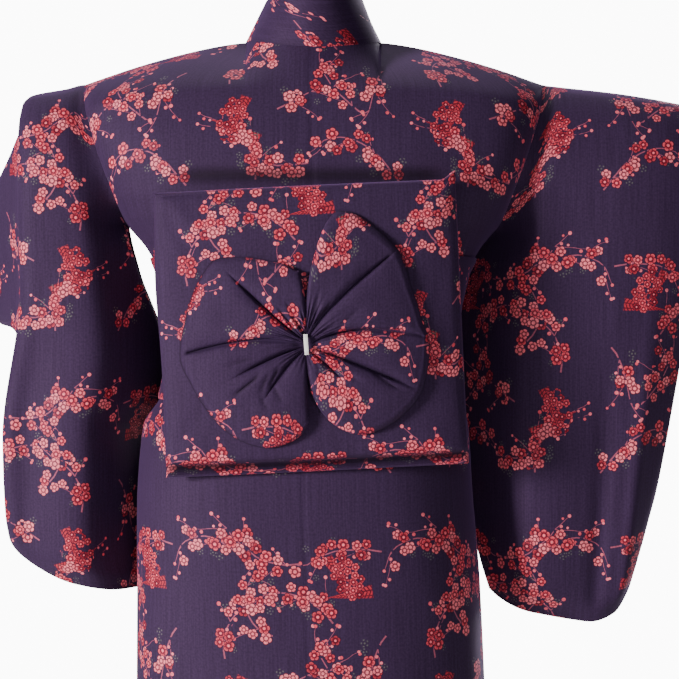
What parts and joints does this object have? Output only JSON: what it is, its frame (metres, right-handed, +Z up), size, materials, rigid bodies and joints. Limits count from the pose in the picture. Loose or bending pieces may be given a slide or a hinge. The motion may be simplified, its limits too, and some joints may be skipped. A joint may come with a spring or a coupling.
{
  "type": "kimono with obi",
  "caption": "Long worn kimono in plum blossom brocade, with wide sleeves, crossed collar and an obi that carries a flat padded back panel and a gathered bow.",
  "frame": {"origin": "point between the shoulders, level with the sides of the neck, where the wearer holds the garment up", "axes": "+Z up, +Y the way the wearer faces, +X to the wearer's right; the picture looks along +Y at the back"},
  "size_m": [0.8131, 0.3075, 1.3753],
  "materials": {
    "brocade": "satin brocade",
    "tape": "matt tape"
  },
  "bodies": {
    "root": {"back": "brocade", "front_left": "brocade", "front_right": "brocade", "collar": "brocade", "sleeve_left": "brocade", "sleeve_right": "brocade", "obi": "brocade", "obi_panel": "brocade", "bow_left": "brocade", "bow_right": "brocade", "tie": "tape"}
  },
  "joints": []
}
